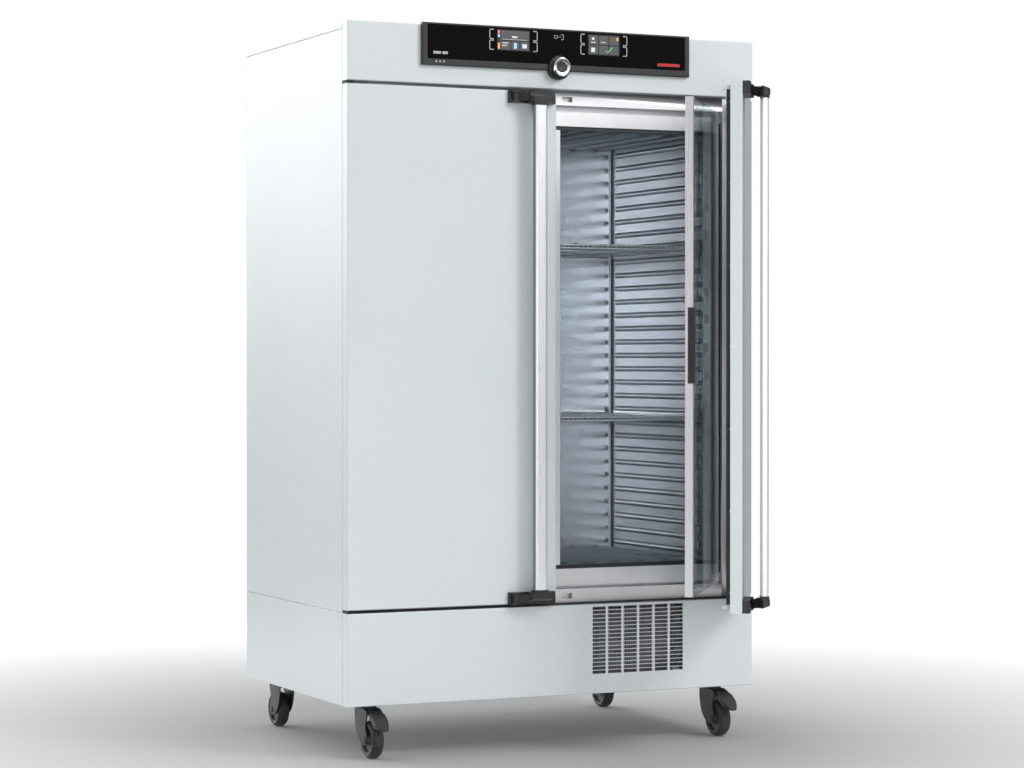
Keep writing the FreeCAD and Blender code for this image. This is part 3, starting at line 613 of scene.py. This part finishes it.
def deck_strip():
    """Black rubber strip that fills the joint between the base and the frame above it and keeps the
    gap dark.
    """
    base_low, base_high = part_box("base_front_panel")
    frame_low, frame_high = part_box("door_frame")
    x0, x1 = frame_low.x + 0.002, frame_high.x - 0.002
    y0, y1 = base_high.y + 0.0006, base_high.y + 0.022
    z0, z1 = base_high.z - 0.009, frame_low.z - 0.0004
    outline = rounded(y0, y1, z0, z1, 0.0008)
    bm = bmesh.new()
    add_prism(bm, [[(x, y, z) for y, z in outline] for x in (x0, x1)])
    finish_mesh("deck_strip", bm, "gasket")


def panel_marks():
    """Plain marks on the control panel: key brackets, socket symbol, dashes, dots and red bar."""
    glass_low, glass_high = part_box("cockpit_glass")
    front = glass_low.y - PRINT_LIFT
    low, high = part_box("displays")
    gap, reach, stroke = 0.022, 0.012, 0.0024
    middle = (low.z + high.z) / 2
    outlines = []
    for x0 in (low.x, high.x - SCREEN_WIDTH):
        for z0, z1 in ((middle + 0.002, high.z - 0.001), (low.z + 0.001, middle - 0.002)):
            outlines.append(bracket(x0 - gap, z0, z1, reach, stroke))
            outlines.append(bracket(x0 + SCREEN_WIDTH + gap, z0, z1, -reach, stroke))
    plates("touch_key_marks", outlines, front, "mark")
    middle = glass_high.z - 0.0168
    loop = [(-0.010 - 0.006 * math.cos(math.radians(a)), middle + 0.004 * math.sin(math.radians(a)))
            for a in range(20, 341, 20)]
    symbol = [bracket(0.013, middle - 0.007, middle + 0.007, -0.007, 0.0016),
              ribbon(loop, 0.0014),
              rounded(-0.001, 0.006, middle - 0.0005, middle + 0.0010, 0.0004)]
    plates("socket_symbol", symbol, front, "mark")
    left, right, base = glass_low.x, glass_high.x, glass_low.z
    dashes = [rounded(left + x0, left + x1, base + 0.0128, base + 0.0198, 0.001)
              for x0, x1 in ((0.0168, 0.0388), (0.0428, 0.0588))]
    plates("plain_dashes", dashes, front, "mark")
    starts = [left + 0.0228 + 0.011 * i for i in range(3)]
    dots = [rounded(x, x + 0.005, base - 0.0097, base - 0.0047, 0.0006) for x in starts]
    plates("plain_dots", dots, front - PRINT_STEP, "mark")
    red_bar = rounded(right - 0.0868, right - 0.0168, base + 0.0093, base + 0.0173, 0.0015)
    plates("plain_red_bar", [red_bar], front, "red")


def screen_contents():
    """Plain tiles, bars and a tick; places are fractions of a screen's width and height."""
    low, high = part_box("displays")
    front = low.y - PRINT_LIFT
    width, height = SCREEN_WIDTH, high.z - low.z

    def tile(x0, u0, u1, v0, v1, r=0.001):
        return rounded(x0 + width * u0, x0 + width * u1, low.z + height * v0, low.z + height * v1, r)

    left, right = low.x, high.x - width
    grey = [tile(left, 0.10, 0.97, 0.50, 0.96), tile(left, 0.10, 0.40, 0.05, 0.45),
            tile(left, 0.43, 0.68, 0.05, 0.45), tile(left, 0.71, 0.97, 0.05, 0.45)]
    for i in range(3):
        for v0, v1 in ((0.05, 0.47), (0.52, 0.95)):
            grey.append(tile(right, 0.03 + 0.32 * i, 0.32 + 0.32 * i, v0, v1))
    plates("screen_tiles", grey, front, "tile")
    lines = [tile(left, 0.45, 0.62, 0.62, 0.70, 0.0005), tile(left, 0.16, 0.92, 0.53, 0.545, 0.0002),
             tile(left, 0.77, 0.91, 0.14, 0.34), tile(left, 0.15, 0.34, 0.34, 0.38, 0.0003),
             tile(left, 0.15, 0.30, 0.22, 0.26, 0.0003)]
    lines += [tile(right, 0.10, 0.24, 0.60, 0.64, 0.0003), tile(right, 0.12, 0.20, 0.74, 0.86),
              tile(right, 0.40, 0.56, 0.62, 0.65, 0.0003), tile(right, 0.10, 0.22, 0.14, 0.36)]
    plates("screen_lines", lines, front - PRINT_STEP, "line")
    orange = [tile(left, 0.02, 0.08, 0.06, 0.36), tile(right, 0.90, 0.96, 0.74, 0.90)]
    plates("screen_orange_bars", orange, front - PRINT_STEP, "orange")
    blue = [tile(left, 0.51, 0.60, 0.10, 0.38, 0.003), tile(left, 0.02, 0.08, 0.62, 0.76)]
    plates("screen_blue_drop", blue, front - PRINT_STEP, "blue")
    rose = [tile(left, 0.02, 0.08, 0.80, 0.96)]
    plates("screen_rose_bar", rose, front - PRINT_STEP, "rose")
    tick = [(right + width * u, low.z + height * v)
            for u, v in ((0.56, 0.26), (0.62, 0.14), (0.76, 0.40))]
    plates("screen_green_tick", [ribbon(tick, 0.0022)], front - 2 * PRINT_STEP, "green")


deck_strip()
panel_marks()
screen_contents()


# Stage, camera and light --------------------------------------------------------------

def make_floor():
    """Pale disc with a painted glow that grows outwards into the white surroundings, which leaves a
    painted shade round the object.
    """
    bm = bmesh.new()
    bmesh.ops.create_circle(bm, cap_ends=True, segments=128, radius=3.4)
    mesh = bpy.data.meshes.new("floor")
    bm.to_mesh(mesh)
    bm.free()
    floor = bpy.data.objects.new("floor", mesh)
    bpy.context.scene.collection.objects.link(floor)
    s = Surface("studio_floor", (0.44, 0.44, 0.44), 0.6)
    s.set("Emission Color", (1, 1, 1, 1))
    distance = s.add("VectorMath")
    distance.operation = "LENGTH"
    s.link(s.object_space, distance.inputs[0])
    # Painted light: the floor glows more the further it lies from the object.
    painted_floor_glow = s.ramp(distance.outputs["Value"], 0.8, 3.3, 0.04, 0.75)
    s.link(painted_floor_glow, s.shader.inputs["Emission Strength"])
    mesh.materials.append(s.material)


def make_camera():
    data = bpy.data.cameras.new("camera")
    camera = bpy.data.objects.new("camera", data)
    bpy.context.scene.collection.objects.link(camera)
    data.sensor_width = 36
    data.lens = 95.8
    data.shift_x = 0.0285
    data.shift_y = -0.003
    data.clip_end = 200
    camera.location = (-3.270, -7.044, 1.054)
    camera.rotation_euler = Euler((math.radians(89.59), 0, math.radians(-24.62)))
    bpy.context.scene.camera = camera


def area_light(name, spot, target, size, power):
    data = bpy.data.lights.new(name, "AREA")
    data.shape = "RECTANGLE"
    data.size = data.size_y = size
    data.energy = power
    light = bpy.data.objects.new(name, data)
    bpy.context.scene.collection.objects.link(light)
    light.location = spot
    light.rotation_euler = (Vector(target) - Vector(spot)).to_track_quat("-Z", "Y").to_euler()


class Sky:
    """Soft studio surroundings: plain white behind the object, and the light that falls on it."""

    def __init__(self):
        world = bpy.data.worlds.new("studio")
        bpy.context.scene.world = world
        world.use_nodes = True
        self.tree = world.node_tree
        self.direction = self.add("TexCoord").outputs["Generated"]

    def add(self, kind):
        return self.tree.nodes.new("ShaderNode" + kind)

    def steps(self, value, low, high, out_low, out_high):
        node = self.add("MapRange")
        node.interpolation_type = "SMOOTHSTEP"
        set_range(node, low, high, out_low, out_high)
        self.tree.links.new(value, node.inputs["Value"])
        return node.outputs["Result"]

    def facing(self, direction):
        """How far the view direction points the given way, 1 when straight at it."""
        node = self.add("VectorMath")
        node.operation = "DOT_PRODUCT"
        node.inputs[1].default_value = Vector(direction).normalized()
        self.tree.links.new(self.direction, node.inputs[0])
        return node.outputs["Value"]

    def combine(self, operation, a, b):
        node = self.add("Math")
        node.operation = operation
        self.tree.links.new(a, node.inputs[0])
        self.tree.links.new(b, node.inputs[1])
        return node.outputs["Value"]

    def finish(self, strength):
        white = self.tree.nodes["Background"]
        white.inputs["Color"].default_value = (1, 1, 1, 1)
        soft = self.add("Background")
        soft.inputs["Color"].default_value = (0.985, 0.99, 1, 1)
        self.tree.links.new(strength, soft.inputs["Strength"])
        choice = self.add("MixShader")
        self.tree.links.new(self.add("LightPath").outputs["Is Camera Ray"], choice.inputs[0])
        self.tree.links.new(soft.outputs[0], choice.inputs[1])
        self.tree.links.new(white.outputs[0], choice.inputs[2])
        self.tree.links.new(choice.outputs[0], self.tree.nodes["World Output"].inputs["Surface"])


def make_sky():
    """A ring at the horizon, a soft zenith and one broad lobe for each light."""
    sky = Sky()
    up = sky.facing((0, 0, 1))
    ring = sky.steps(up, -0.16, 0.14, 0.07, 0.29)
    zenith = sky.steps(up, 0.2, 1.0, 0.0, 0.60)
    front = sky.steps(sky.facing((0.42, -0.90, 0.06)), 0.80, 0.98, 0.0, 1.2)
    left = sky.steps(sky.facing((-1, -0.03, 0.05)), 0.84, 0.98, 0.0, 0.6)
    rear_left = sky.steps(sky.facing((-0.42, 0.90, 0.12)), 0.74, 0.93, 0.0, 4.0)
    above = sky.steps(up, -0.01, 0.11, 0.03, 1.0)
    backdrop = sky.combine("MULTIPLY", rear_left, above)
    front = sky.combine("MULTIPLY", front, above)
    total = sky.combine("ADD", ring, zenith)
    for light in (front, left, backdrop):
        total = sky.combine("ADD", total, light)
    rear_right = sky.steps(sky.facing((0.75, 0.66, 0)), 0.5, 0.9, 1.0, 0.35)
    sky.finish(sky.combine("MULTIPLY", total, rear_right))


def make_light():
    make_sky()
    area_light("key", (2.3, -4.3, 4.2), (0, -0.3, 1.3), size=1.7, power=105)
    area_light("front", (-2.4, -7.3, 1.5), (0.2, 0, 1.1), size=1.8, power=108)
    bpy.context.scene.view_settings.view_transform = "Standard"


make_floor()
make_camera()
make_light()
